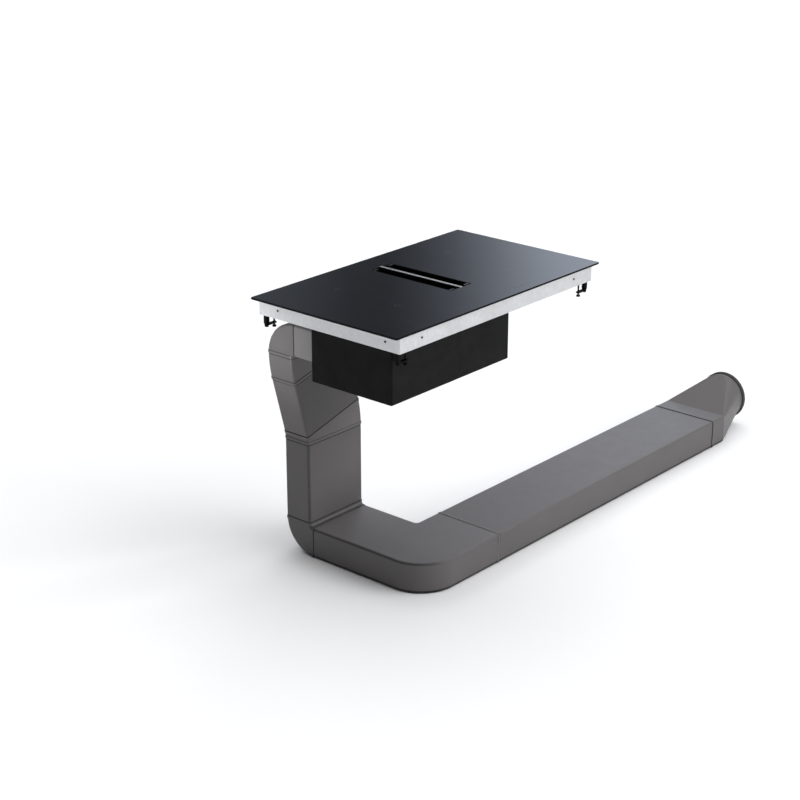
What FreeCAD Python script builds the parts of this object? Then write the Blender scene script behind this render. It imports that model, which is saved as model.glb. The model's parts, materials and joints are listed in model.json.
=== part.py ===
import FreeCAD, Part
import math
import os

from FreeCAD import Vector as V

os.makedirs("parts", exist_ok=True)

# ---------------------------------------------------------------------------
# Downdraft induction cooktop with its flat-duct exhaust run.
# Millimetres. Origin: centre of the glass, in the plane of the worktop surface.
# +X right, +Y to the back, +Z up. The floor is FLOOR_Z.
# ---------------------------------------------------------------------------
GLASS_W = 880.0            # glass, left to right
GLASS_D = 520.0            # glass, front to back
GLASS_T = 4.0              # glass thickness
GLASS_R = 5.0              # glass corner radius
SEAL_T = 2.0               # sealing strip under the glass
FLOOR_Z = -820.0           # floor below the worktop surface

SLOT_W = 90.0              # intake slot in the glass
SLOT_Y0, SLOT_Y1 = -112.0, 182.0
SLOT_R = 3.0
RUN_GAP = 0.3              # running gap of the lift-out cassette

TRAY_X, TRAY_Y = 417.0, 250.0      # half sizes of the sheet tray
TRAY_BOTTOM = -45.0
TRAY_T = 1.2

BOX_X0, BOX_X1 = -412.0, 78.0      # extractor box
BOX_Y0, BOX_Y1 = -218.0, 65.0
BOX_Z0 = -195.0
BOX_T = 2.5
EXT_X0, EXT_Y1, EXT_Z0 = -60.0, 190.0, -150.0   # intake chamber behind the box
COVER_T = 3.0

DUCT_W, DUCT_H, DUCT_T = 226.0, 93.0, 2.0       # flat duct, outside
DUCT_R = 7.0                                    # rounding of the duct's long edges
OUT_X0, OUT_Z0 = -317.6, -188.0                 # outlet duct, lower left corner
OUT_Y1 = 221.0
BEND_IN = 8.0                                   # inner radius of the top bend
RISER_Y0 = 229.0
LEAN_DEG = 15.0
LEAN_IN = 90.0                                  # inner radius of the sideways bends
LEAN_TOP_Z, LEAN_BOT_Z = -196.0, -472.0
LEAN_RAD = math.radians(LEAN_DEG)
LEAN_RM = LEAN_IN + DUCT_W / 2.0
LEAN_LEN = ((LEAN_TOP_Z - LEAN_BOT_Z) - 2 * LEAN_RM * math.sin(LEAN_RAD)) / math.cos(LEAN_RAD)
RISER_X0 = OUT_X0 + 2 * LEAN_RM * (1 - math.cos(LEAN_RAD)) + LEAN_LEN * math.sin(LEAN_RAD)
RIM_H, RIM_L = 1.6, 7.0                         # proud rim at a bend's end
SEAM_W, SEAM_D, SEAM_FILL = 2.6, 1.1, 0.6       # groove beside a rim and the seal lying in it
SEAM_W_LOW = 4.4                                # wider groove where it hangs below a rim
FOOT_IN = 12.0                                  # inner radius of the bottom bend
CORNER_IN, CORNER_OUT = 10.0, 115.0
RUN_Y0 = -208.0
CORNER_X1 = 70.0
RUN_X1 = 1207.0
COLLAR_X1, ROUND_X0, ROUND_X1 = 1277.0, 1436.0, 1462.0
ROUND_R_IN, ROUND_R_OUT = 75.2, 78.0
ROUND_Y, ROUND_Z = -95.0, FLOOR_Z + 88.0

FAN_X, FAN_Y = -255.0, -68.0                    # blower axis
SHAFT_R, SHAFT_GAP = 4.0, 0.05
IMP_R = 86.0

COILS_L = [(-235.0, -85.0), (-235.0, 130.0)]
COILS_R = [(235.0, -85.0), (235.0, 130.0)]
COIL_RO, COIL_RI = 100.0, 30.0

COOL_FANS = {"left": (-110.0, -150.0), "right": (110.0, -150.0)}
GLAND_X, GLAND_Y, GLAND_R = 330.0, 180.0, 6.5
CLAMP_X, CLAMP_Y = 406.0, 234.0
CLAMP_POST_Z = -70.0                            # underside of a clamp post
CLAMP_REACH, CLAMP_SCREW = 36.0, 29.0           # clamp arm: its end and its press screw, from the pin
END_RING_W = 15.0                               # ring on the round end
SENSOR_COLLAR_R = 12.0                          # collar of a pan sensor
RIB_GAP = 0.05                                  # grip ribs of the overflow tray to the edge of its opening
SIDE_SCREW_Y, SIDE_SCREW_Z = (-201.0, 180.0), -21.0

GLASS_Z0 = SEAL_T
GLASS_Z1 = SEAL_T + GLASS_T
SLOT_YC = (SLOT_Y0 + SLOT_Y1) / 2.0


# ---------------------------------------------------------------------------
# Small geometry helpers
# ---------------------------------------------------------------------------
def box(x0, x1, y0, y1, z0, z1):
    return Part.makeBox(x1 - x0, y1 - y0, z1 - z0, V(x0, y0, z0))


def cyl(x, y, z0, z1, r):
    return Part.makeCylinder(r, z1 - z0, V(x, y, z0))


def ring(x, y, z0, z1, ro, ri):
    return cyl(x, y, z0, z1, ro).cut(cyl(x, y, z0 - 1, z1 + 1, ri))


def wire2(pts, radii, place):
    """Closed outline through 2-D points with a rounding at each corner."""
    n = len(pts)
    segs = []
    ends = []
    for i in range(n):
        p = V(*pts[i], 0)
        a = V(*pts[i - 1], 0)
        b = V(*pts[(i + 1) % n], 0)
        r = radii[i]
        da = (a - p).normalize()
        db = (b - p).normalize()
        if r <= 0:
            ends.append((p, None, p))
            continue
        half = da.getAngle(db) / 2.0
        t = r / math.tan(half)
        p0 = p + da * t
        p1 = p + db * t
        bis = (da + db).normalize()
        c = p + bis * (r / math.sin(half))
        m = c - bis * r
        ends.append((p0, m, p1))
    for i in range(n):
        p0, m, p1 = ends[i]
        if m is not None:
            segs.append(Part.Arc(place(p0), place(m), place(p1)).toShape())
        q0 = ends[(i + 1) % n][0]
        if (q0 - p1).Length > 1e-6:
            segs.append(Part.LineSegment(place(p1), place(q0)).toShape())
    return Part.Wire(segs)


def rect_face(u0, u1, w0, w1, r, place):
    pts = [(u0, w0), (u1, w0), (u1, w1), (u0, w1)]
    return Part.Face(wire2(pts, [r] * 4, place))


def on_xy(z):
    return lambda p: V(p.x, p.y, z)


def on_xz(y):
    return lambda p: V(p.x, y, p.y)


def on_yz(x):
    return lambda p: V(x, p.x, p.y)


def slab(x0, x1, y0, y1, z0, z1, r):
    """Plate or block with rounded upright corners."""
    return rect_face(x0, x1, y0, y1, r, on_xy(z0)).extrude(V(0, 0, z1 - z0))


def fuse(first, *rest):
    out = first
    for s in rest:
        out = out.fuse(s)
    return out.removeSplitter()


def save(name, shape):
    if not shape.isValid():
        print("INVALID", name)
    shape.exportStep("parts/%s.step" % name)
    print("%-26s solids %3d  volume %.1f cm3" % (name, len(shape.Solids), shape.Volume / 1000.0))


def group(solids):
    return Part.makeCompound(solids)


def members(shape, boxes):
    """The members of a shape, one solid in each box."""
    out = []
    for b in boxes:
        out.extend(shape.common(b).Solids)
    return out


# ---------------------------------------------------------------------------
# Hob top: glass, seals
# ---------------------------------------------------------------------------
hx, hy = GLASS_W / 2.0, GLASS_D / 2.0
glass = slab(-hx, hx, -hy, hy, GLASS_Z0, GLASS_Z1, GLASS_R)
rim = [e for e in glass.Edges if abs(e.BoundBox.ZMin - GLASS_Z1) < 1e-6 and abs(e.BoundBox.ZMax - GLASS_Z1) < 1e-6]
glass = glass.makeChamfer(0.8, rim)
slot_cut = slab(-SLOT_W / 2, SLOT_W / 2, SLOT_Y0, SLOT_Y1, GLASS_Z0 - 1, GLASS_Z1 + 1, SLOT_R)
glass = glass.cut(slot_cut)
save("glass_top", glass)

gasket = slab(-hx + 2, hx - 2, -hy + 2, hy - 2, 0, SEAL_T, GLASS_R)
gasket = gasket.cut(slab(-TRAY_X - 2, TRAY_X + 2, -TRAY_Y - 2, TRAY_Y + 2, -1, SEAL_T + 1, 3.0))
save("worktop_gasket", gasket)

well_x, well_y0, well_y1 = SLOT_W / 2 + 0.6, SLOT_Y0 - 0.6, SLOT_Y1 + 0.6
inlet_seal = slab(-well_x - 13, well_x + 13, well_y0 - 13, well_y1 + 13, 0.5, SEAL_T, 4.0)
inlet_seal = inlet_seal.cut(box(-well_x, well_x, well_y0, well_y1, 0, 3))
save("inlet_seal", inlet_seal)

# ---------------------------------------------------------------------------
# Sheet tray under the glass
# ---------------------------------------------------------------------------
tray = slab(-TRAY_X, TRAY_X, -TRAY_Y, TRAY_Y, TRAY_BOTTOM, GLASS_Z0, 2.5)
tray = tray.cut(slab(-TRAY_X + TRAY_T, TRAY_X - TRAY_T, -TRAY_Y + TRAY_T, TRAY_Y - TRAY_T,
                     TRAY_BOTTOM + TRAY_T, GLASS_Z0 - TRAY_T, 1.3))
lip_x, lip_y = TRAY_X - 14, TRAY_Y - 4.5
tray = tray.cut(box(-lip_x, lip_x, -lip_y, lip_y, GLASS_Z0 - 3, GLASS_Z0 + 1))
tray = tray.cut(box(-well_x - 3.4, well_x + 3.4, well_y0 - 3.4, well_y1 + 3.4, TRAY_BOTTOM - 1, TRAY_BOTTOM + 3))
# air grilles under the two cooling fans and along the right underside
cuts = []
for fx, fy in COOL_FANS.values():
    if fx > 0:
        for i in range(7):
            cuts.append(box(fx - 27 + i * 8, fx - 23 + i * 8, fy - 28, fy + 28, TRAY_BOTTOM - 1, TRAY_BOTTOM + 3))
for i in range(12):
    cuts.append(box(250 + i * 10, 255 + i * 10, -190, -130, TRAY_BOTTOM - 1, TRAY_BOTTOM + 3))
tray = tray.cut(group(cuts))
# side screw holes and the cable gland hole
screw_spots = []
for sx in (-1, 1):
    for y in SIDE_SCREW_Y:
        screw_spots.append((V(sx * TRAY_X, y, SIDE_SCREW_Z), V(sx, 0, 0)))
for sy in (-1, 1):
    for x in (-330.0, 330.0):
        screw_spots.append((V(x, sy * TRAY_Y, SIDE_SCREW_Z), V(0, sy, 0)))
for p, d in screw_spots:
    tray = tray.cut(Part.makeCylinder(1.6, 6.0, p - d * 3.0, d))
tray = tray.cut(cyl(GLAND_X, GLAND_Y, TRAY_BOTTOM - 1, TRAY_BOTTOM + 3, 10.1))
# base of four panels round the intake, four walls with their corners, and four lips turned in at the top
zb0, zb1, zw = TRAY_BOTTOM - 5, TRAY_BOTTOM + TRAY_T, GLASS_Z0 - TRAY_T
xs, ys0, ys1 = well_x + 3.4, well_y0 - 3.4, well_y1 + 3.4
cx, cy = TRAY_X - 2.5, TRAY_Y - 2.5
panels = members(tray, [box(-500, -xs, -300, 300, zb0, zb1), box(xs, 500, -300, 300, zb0, zb1),
                        box(-xs, xs, -300, ys0, zb0, zb1), box(-xs, xs, ys1, 300, zb0, zb1),
                        box(-500, -cx, -cy, cy, zb1, zw), box(cx, 500, -cy, cy, zb1, zw),
                        box(-cx, cx, -300, -cy, zb1, zw), box(-cx, cx, cy, 300, zb1, zw),
                        box(-500, -cx, -300, -cy, zb1, zw), box(cx, 500, -300, -cy, zb1, zw),
                        box(-500, -cx, cy, 300, zb1, zw), box(cx, 500, cy, 300, zb1, zw),
                        box(-500, -lip_x, -300, 300, zw, 10), box(lip_x, 500, -300, 300, zw, 10),
                        box(-lip_x, lip_x, -300, -lip_y, zw, 10), box(-lip_x, lip_x, lip_y, 300, zw, 10)])
save("chassis_tray", group(panels))

screws = []
for p, d in screw_spots:
    head = Part.makeCylinder(3.2, 1.4, p, d)
    head = head.makeFillet(0.7, [e for e in head.Edges if (e.CenterOfMass - (p + d * 1.4)).Length < 1e-3])
    shank = Part.makeCylinder(1.6, 7.0, p - d * 7.0, d)
    s = head.fuse(shank)
    # cross recess
    u = V(0, 0, 1)
    w = d.cross(u)
    for a, b in ((u, w), (w, u)):
        face = Part.makePolygon([p + d * 0.7 + a * 1.8 + b * 0.3, p + d * 0.7 + a * 1.8 - b * 0.3,
                                 p + d * 0.7 - a * 1.8 - b * 0.3, p + d * 0.7 - a * 1.8 + b * 0.3,
                                 p + d * 0.7 + a * 1.8 + b * 0.3])
        s = s.cut(Part.Face(face).extrude(d * 2))
    screws.append(s)

# ---------------------------------------------------------------------------
# Induction hardware inside the tray
# ---------------------------------------------------------------------------
floor_in = TRAY_BOTTOM + TRAY_T
posts = []
all_bars, all_sens, all_mica = [], [], []
for side, coils in (("left", COILS_L), ("right", COILS_R)):
    s = -1 if side == "left" else 1
    x0, x1 = sorted((s * 75.0, s * 400.0))
    carrier = slab(x0, x1, -192, 237, -12.0, -10.5, 6.0)
    for cx, cy in coils:
        carrier = carrier.cut(cyl(cx, cy, -13, -9, 9.0))
    save("coil_carrier_" + side, carrier)
    coil_s = []
    for cx, cy in coils:
        c = ring(cx, cy, -6.0, -1.2, COIL_RO, COIL_RI)
        grooves = [ring(cx, cy, -1.8, -1.0, r + 1.2, r) for r in (44.0, 58.0, 72.0, 86.0)]
        c = c.cut(group(grooves))
        coil_s.append(c)
        for k in range(8):
            b = box(35, 95, -6, 6, -10.5, -6.0)
            b.rotate(V(0, 0, 0), V(0, 0, 1), 22.5 + 45 * k)
            b.translate(V(cx, cy, 0))
            all_bars.append(b)
        # pan sensor: its collar lies under the carrier, its head against the glass
        all_sens.append(fuse(cyl(cx, cy, -16, GLASS_Z0, 7.0), cyl(cx, cy, -14.0, -12.0, SENSOR_COLLAR_R)))
    save("induction_coils_" + side, group(coil_s))
    mica = slab(x0, x1, -190, 235, -1.2, -0.4, 4.0)
    for cx, cy in coils:
        mica = mica.cut(cyl(cx, cy, -2, 1, 8.0))
    all_mica.append(mica)
    for px in (s * 82.0, s * 393.0):
        for py in (-95.0, 225.0):
            posts.append(cyl(px, py, floor_in, -12.0, 5.0))
    bx0, bx1 = sorted((s * 160.0, s * 385.0))
    board = slab(bx0, bx1, -180, 150, -38.0, -36.4, 3.0)
    save("power_board_" + side, board)
    sink = box(bx0 + 20, bx1 - 20, -150, 60, -36.4, -33.4)
    fins = []
    nf = 12
    for i in range(nf):
        fx = bx0 + 20 + i * (bx1 - bx0 - 42.0) / (nf - 1)
        fins.append(box(fx, fx + 2.0, -150, 60, -33.4, -18.0))
    sink = sink.multiFuse(fins).removeSplitter()
    save("heat_sink_" + side, sink)
    for px in (bx0 + 10, bx1 - 10):
        for py in (-170.0, 140.0):
            posts.append(cyl(px, py, floor_in, -38.0, 4.0))
    # electronics cooling fan: square frame with a spider and a fixed pin
    fx, fy = COOL_FANS[side]
    fr = slab(fx - 34, fx + 34, fy - 34, fy + 34, floor_in, -22.0, 4.0)
    fr = fr.cut(cyl(fx, fy, floor_in - 1, -21, 31.0))
    arms = [box(fx - 33, fx + 33, fy - 2, fy + 2, floor_in, floor_in + 2.5),
            box(fx - 2, fx + 2, fy - 33, fy + 33, floor_in, floor_in + 2.5),
            cyl(fx, fy, floor_in, floor_in + 2.5, 10.0),
            cyl(fx, fy, floor_in + 2, -26.0, 2.0)]
    fr = fr.multiFuse(arms).removeSplitter()
    save("cooling_fan_frame_" + side, fr)
    hub = cyl(fx, fy, floor_in + 3.5, -25.0, 12.0).cut(cyl(fx, fy, floor_in, -26.0 + 0.4, 2.0 + SHAFT_GAP))
    blades = []
    for k in range(7):
        b = box(10.5, 29.5, -0.7, 0.7, -9.0, 9.0)
        b.rotate(V(0, 0, 0), V(1, 0, 0), 50 * s)
        b.rotate(V(0, 0, 0), V(0, 0, 1), 360.0 / 7 * k)
        b.translate(V(fx, fy, (floor_in + 3.5 - 25.0) / 2))
        blades.append(b)
    rotor = hub.multiFuse(blades).removeSplitter()
    rotor = rotor.common(cyl(fx, fy, floor_in + 3.5, -24.0, 29.8))
    save("cooling_fan_rotor_" + side, rotor)
save("support_posts", group(posts))
save("ferrite_bars", group(all_bars))
save("pan_sensors", group(all_sens))
save("insulation_sheets", group(all_mica))

touch = box(-170, 170, -243, -206, 0.4, GLASS_Z0)
save("touch_board", touch)

term = slab(300, 360, 215, 240, floor_in, -26.0, 2.0)
for i in range(5):
    term = term.cut(cyl(306 + i * 12, 227.5, -34, -25, 3.0))
save("terminal_block", term)

gl = cyl(GLAND_X, GLAND_Y, TRAY_BOTTOM - 22, floor_in + 5, 10.0)
hexp = [V(GLAND_X + 13.0 * math.cos(math.radians(60 * k)), GLAND_Y + 13.0 * math.sin(math.radians(60 * k)),
          TRAY_BOTTOM - 6) for k in range(6)]
nut_face = Part.Face(Part.makePolygon(hexp + [hexp[0]]))
nut = nut_face.extrude(V(0, 0, 6))
hex2 = nut_face.copy()
hex2.translate(V(0, 0, -16))
dome = hex2.extrude(V(0, 0, 11))
gl = fuse(gl, nut, dome)
gl = gl.cut(cyl(GLAND_X, GLAND_Y, TRAY_BOTTOM - 30, floor_in + 10, GLAND_R))
save("cable_gland", gl)

# ---------------------------------------------------------------------------
# Worktop clamps: a post at each corner and a swinging arm with its press screw
# ---------------------------------------------------------------------------
post_list = []
for tag, sx, sy in (("front_left", -1, -1), ("front_right", 1, -1), ("rear_left", -1, 1), ("rear_right", 1, 1)):
    cx, cy = sx * CLAMP_X, sy * CLAMP_Y
    z = CLAMP_POST_Z
    p = slab(cx - 6, cx + 6, cy - 6, cy + 6, z, TRAY_BOTTOM, 1.5)
    pin = cyl(cx, cy, z - 7.0, z + 1.0, 3.0)
    cap = cyl(cx, cy, z - 9.5, z - 7.0, 5.0)
    post_list.append(fuse(p, pin, cap))
    d = -sx
    hub = cyl(cx, cy, z - 6.7, z - 0.3, 6.0)
    x0, x1 = sorted((cx, cx + d * CLAMP_REACH))
    plate = slab(x0, x1, cy - 6, cy + 6, z - 5.5, z - 2.0, 5.9)
    arm = fuse(hub, plate).cut(cyl(cx, cy, z - 11, z + 4, 3.0 + SHAFT_GAP))
    sxp = cx + d * CLAMP_SCREW
    arm = arm.cut(cyl(sxp, cy, z - 11, z + 4, 2.5))
    screw = fuse(cyl(sxp, cy, z - 12.0, z + 18.0, 2.5), cyl(sxp, cy, z - 16.0, z - 12.0, 5.5))
    pad = cyl(sxp, cy, z + 18.0, z + 20.5, 4.5)
    save("clamp_arm_" + tag, group([arm, fuse(screw, pad)]))
save("clamp_posts", group(post_list))

# ---------------------------------------------------------------------------
# Intake: well, lift-out cassette
# ---------------------------------------------------------------------------
well = box(-well_x - 2.8, well_x + 2.8, well_y0 - 2.8, well_y1 + 2.8, -60.0, 0.5)
well = well.fuse(slab(-well_x - 13, well_x + 13, well_y0 - 13, well_y1 + 13, -1.5, 0.5, 4.0)).removeSplitter()
well = well.cut(box(-well_x, well_x, well_y0, well_y1, -58.0, 2))
well = well.cut(box(-well_x + 6, well_x - 6, well_y0 + 6, well_y1 - 6, -62.0, -50))
save("inlet_well", well)

cx_o = SLOT_W / 2 - RUN_GAP
cy0, cy1 = SLOT_Y0 + RUN_GAP, SLOT_Y1 - RUN_GAP
WALL = 3.0
frame = slab(-cx_o, cx_o, cy0, cy1, -58.0, GLASS_Z1, SLOT_R)
frame = frame.cut(box(-cx_o + WALL, cx_o - WALL, cy0 + WALL, cy1 - WALL, -56.0, GLASS_Z1 + 1))
frame = frame.cut(box(-cx_o + 8, cx_o - 8, cy0 + 8, cy1 - 8, -60.0, -50))
web = box(-2, 2, cy0 + 1, cy1 - 1, -36.0, 2.0)
frame = frame.fuse(web).removeSplitter()
frame = frame.cut(box(-4.5, 4.5, cy0 - 1, cy1 + 1, 2.0, GLASS_Z1 + 1))
# straight members: end walls, side walls, ledges under the filter, middle web
xi, yi0, yi1 = cx_o - WALL, cy0 + WALL, cy1 - WALL
xl, yl0, yl1 = cx_o - 8, cy0 + 8, cy1 - 8
save("vent_frame", group(members(frame, [
    box(-60, 60, cy0 - 1, yi0, -70, 10), box(-60, 60, yi1, cy1 + 1, -70, 10),
    box(-60, -xi, yi0, yi1, -70, 10), box(xi, 60, yi0, yi1, -70, 10),
    box(-xi, -xl, yi0, yi1, -70, -56), box(xl, xi, yi0, yi1, -70, -56),
    box(-xl, xl, yi0, yl0, -70, -56), box(-xl, xl, yl1, yi1, -70, -56),
    box(-2, 2, yi0, yi1, -50, 10)])))

bar = box(-4.5, 4.5, cy0, cy1, 2.0, GLASS_Z1 + 1.5)
bar = bar.makeFillet(1.2, [e for e in bar.Edges if abs(e.BoundBox.ZMin - (GLASS_Z1 + 1.5)) < 1e-6])
save("vent_bar", bar)

louv = []
for s in (-1, 1):
    b = box(-13, 13, cy0 + WALL, cy1 - WALL, -1.0, 1.0)
    b.rotate(V(0, 0, 0), V(0, 1, 0), 38 * s)
    b.translate(V(s * 23.0, 0, -14.0))
    louv.append(b)
save("vent_louvers", group(louv))

fx0, fy0, fy1 = cx_o - WALL - 0.3, cy0 + WALL + 0.3, cy1 - WALL - 0.3
ff = box(-fx0, fx0, fy0, fy1, -56.0, -40.0).cut(box(-fx0 + 1.5, fx0 - 1.5, fy0 + 1.5, fy1 - 1.5, -54.5, -39))
ff = ff.cut(box(-fx0 + 6, fx0 - 6, fy0 + 6, fy1 - 6, -57, -53))
save("filter_frame", ff)
mesh = []
for k, z in enumerate((-54.5, -50.5, -46.5)):
    sheet = box(-fx0 + 1.5, fx0 - 1.5, fy0 + 1.5, fy1 - 1.5, z, z + 1.2)
    holes = []
    nx, ny = 6, 20
    px = (2 * fx0 - 3.0) / nx
    py = (fy1 - fy0 - 3.0) / ny
    for i in range(nx):
        for j in range(ny):
            hx0 = -fx0 + 1.5 + i * px + 1.2
            hy0 = fy0 + 1.5 + j * py + 1.2
            holes.append(box(hx0, hx0 + px - 2.4, hy0, hy0 + py - 2.4, z - 1, z + 2))
    mesh.append(sheet.cut(group(holes)))
save("filter_mesh", group(mesh))

# ---------------------------------------------------------------------------
# Extractor box
# ---------------------------------------------------------------------------
top = TRAY_BOTTOM
wall_z0 = BOX_Z0 + COVER_T
house = slab(BOX_X0, BOX_X1, BOX_Y0, BOX_Y1, wall_z0, top, 5.0)
house = house.fuse(slab(EXT_X0, BOX_X1, BOX_Y1 - 20, EXT_Y1, EXT_Z0, top, 5.0)).removeSplitter()
inner = box(BOX_X0 + BOX_T, BOX_X1 - BOX_T, BOX_Y0 + BOX_T, BOX_Y1 - BOX_T, wall_z0 - 1, top - BOX_T)
inner = inner.fuse(box(EXT_X0 + BOX_T, BOX_X1 - BOX_T, BOX_Y1 - 30, EXT_Y1 - BOX_T, EXT_Z0 + BOX_T, top - BOX_T))
house = house.cut(inner)
house = house.cut(box(-well_x - 3.4, well_x + 3.4, well_y0 - 3.4, well_y1 + 3.4, top - 5, top + 1))
house = house.cut(box(OUT_X0 + DUCT_T, OUT_X0 + DUCT_W - DUCT_T, BOX_Y1 - 6, BOX_Y1 + 1,
                      OUT_Z0 + DUCT_T, OUT_Z0 + DUCT_H - DUCT_T))
cover_spots = [(BOX_X0 + 14, BOX_Y0 + 10), (-167.0, BOX_Y0 + 10), (BOX_X1 - 9, BOX_Y0 + 10),
               (BOX_X0 + 14, BOX_Y1 - 10), (-80.0, BOX_Y1 - 10), (BOX_X1 - 9, BOX_Y1 - 10)]
for x, y in cover_spots:
    # moulded screw boss, tied to the nearer long wall
    yw0, yw1 = (BOX_Y0 + 1, y) if y < 0 else (y, BOX_Y1 - 1)
    house = house.multiFuse([cyl(x, y, wall_z0, wall_z0 + 14, 4.5), box(x - 1.2, x + 1.2, yw0, yw1, wall_z0, wall_z0 + 14)])
house = house.removeSplitter()
for x, y in cover_spots:
    house = house.cut(cyl(x, y, wall_z0 - 1, wall_z0 + 10, 1.6))
# members: top panels round the intake, walls, panels round the outlet hole, chamber walls, bosses
ox0, ox1 = OUT_X0 + DUCT_T, OUT_X0 + DUCT_W - DUCT_T
oz0, oz1 = OUT_Z0 + DUCT_T, OUT_Z0 + DUCT_H - DUCT_T
ix0, ix1, ie = BOX_X0 + BOX_T, BOX_X1 - BOX_T, EXT_X0 + BOX_T
iy0, iy1, iz, ez = BOX_Y0 + BOX_T, BOX_Y1 - BOX_T, top - BOX_T, EXT_Z0 + BOX_T
parts = [box(-500, -xs, -300, BOX_Y1, iz, 0), box(-500, -xs, BOX_Y1, 300, iz, 0), box(xs, 500, -300, 300, iz, 0),
         box(-xs, xs, -300, ys0, iz, 0), box(-xs, xs, ys1, 300, iz, 0),
         box(-500, 500, -300, iy0, -300, iz), box(-500, ix0, iy0, 300, -300, iz),
         box(ix0, ox0, iy1, BOX_Y1, -300, iz), box(ox1, ie, iy1, BOX_Y1, -300, iz),
         box(ox0, ox1, iy1, BOX_Y1, oz1, iz), box(ox0, ox1, iy1, BOX_Y1, -300, oz0),
         box(ie, ix1, iy1, BOX_Y1, -300, EXT_Z0), box(ie, ix1, iy1, 300, EXT_Z0, ez),
         box(-500, ie, BOX_Y1, 300, -300, iz), box(ie, ix1, EXT_Y1 - BOX_T, 300, ez, iz),
         box(ix1, 500, iy0, 300, EXT_Z0, iz), box(ix1, 500, iy0, 300, -300, EXT_Z0)]
for x, y in cover_spots:
    b0, b1 = (iy0, y + 6) if y < 0 else (y - 6, iy1)
    parts.append(box(x - 6, x + 6, b0, b1, wall_z0 - 1, wall_z0 + 20))
save("extractor_housing", group(members(house, parts)))

SUMP = (-50.0, 66.0, -140.0, 40.0)
cover = slab(BOX_X0, BOX_X1, BOX_Y0, BOX_Y1, BOX_Z0, wall_z0, 5.0)
cover = cover.makeChamfer(1.2, [e for e in cover.Edges if abs(e.BoundBox.ZMax - BOX_Z0) < 1e-6])
cover = cover.cut(slab(SUMP[0], SUMP[1], SUMP[2], SUMP[3], BOX_Z0 - 1, wall_z0 + 1, 8.0))
for x, y in cover_spots:
    cover = cover.cut(cyl(x, y, BOX_Z0 - 1, wall_z0 + 1, 1.6))
save("extractor_cover", cover)
for x, y in cover_spots:
    head = cyl(x, y, BOX_Z0 - 1.6, BOX_Z0, 3.4)
    head = head.makeFillet(0.7, [e for e in head.Edges if abs(e.BoundBox.ZMax - (BOX_Z0 - 1.6)) < 1e-6])
    s = fuse(head, cyl(x, y, BOX_Z0, wall_z0 + 6, 1.6))
    s = s.cut(box(x - 2.0, x + 2.0, y - 0.35, y + 0.35, BOX_Z0 - 2, BOX_Z0 - 0.7))
    s = s.cut(box(x - 0.35, x + 0.35, y - 2.0, y + 2.0, BOX_Z0 - 2, BOX_Z0 - 0.7))
    screws.append(s)
save("casing_screws", group(screws))

sump = slab(SUMP[0] + 1, SUMP[1] - 1, SUMP[2] + 1, SUMP[3] - 1, BOX_Z0, -165.0, 7.0)
sump = sump.cut(slab(SUMP[0] + 3, SUMP[1] - 3, SUMP[2] + 3, SUMP[3] - 3, BOX_Z0 + 4.0, -164.0, 5.0))
sump = sump.cut(slab(-20, 36, -60, -40, BOX_Z0 - 1, BOX_Z0 + 2.5, 4.0))
# upright grip ribs all round, against the edge of the opening in the cover
ribs = []
for y in (-105.0, -50.0, 5.0):
    ribs.append(box(SUMP[0] + RIB_GAP, SUMP[0] + 1.8, y - 1.5, y + 1.5, BOX_Z0 + 0.8, wall_z0 + 5))
    ribs.append(box(SUMP[1] - 1.8, SUMP[1] - RIB_GAP, y - 1.5, y + 1.5, BOX_Z0 + 0.8, wall_z0 + 5))
for x in (-22.0, 38.0):
    ribs.append(box(x - 1.5, x + 1.5, SUMP[2] + RIB_GAP, SUMP[2] + 1.8, BOX_Z0 + 0.8, wall_z0 + 5))
    ribs.append(box(x - 1.5, x + 1.5, SUMP[3] - 1.8, SUMP[3] - RIB_GAP, BOX_Z0 + 0.8, wall_z0 + 5))
save("overflow_tray", sump.multiFuse(ribs).removeSplitter())

# ---------------------------------------------------------------------------
# Blower: scroll in two halves, inlet ring, motor, impeller
# ---------------------------------------------------------------------------
def spiral(extra, a0=125.0, a1=360.0, r0=104.0, r1=159.0, n=16):
    pts = []
    for i in range(n + 1):
        t = i / n
        a = math.radians(a0 + (a1 - a0) * t)
        r = r0 + (r1 - r0) * t + extra
        pts.append(V(FAN_X + r * math.cos(a), FAN_Y + r * math.sin(a), 0))
    return pts


def scroll_face(extra, y_out, z):
    pts = [V(p.x, p.y, z) for p in spiral(extra)]
    sp = Part.BSplineCurve()
    sp.interpolate(pts)
    a, b = pts[0], pts[-1]
    q1 = V(b.x, y_out, z)
    q0 = V(OUT_X0 + DUCT_T - extra, y_out, z)
    edges = [sp.toShape(), Part.LineSegment(b, q1).toShape(), Part.LineSegment(q1, q0).toShape(),
             Part.LineSegment(q0, a).toShape()]
    return Part.Face(Part.Wire(edges))


SC_Z0, SC_ZM, SC_Z1 = -190.0, -140.0, -90.0
y_end = BOX_Y1 - BOX_T
outer = scroll_face(2.0, y_end, SC_Z0).extrude(V(0, 0, SC_Z1 - SC_Z0))
innr = scroll_face(0.0, y_end + 5, SC_Z0 + 2).extrude(V(0, 0, SC_Z1 - SC_Z0 - 4))
scroll = outer.cut(innr)
scroll = scroll.cut(cyl(FAN_X, FAN_Y, SC_Z1 - 5, SC_Z1 + 1, 70.0))
big0 = box(-500, 200, -300, 200, SC_Z0 - 5, SC_ZM)
big1 = box(-500, 200, -300, 200, SC_ZM, SC_Z1 + 5)
save("blower_scroll_lower", scroll.common(big0))
save("blower_scroll_upper", scroll.common(big1))

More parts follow.
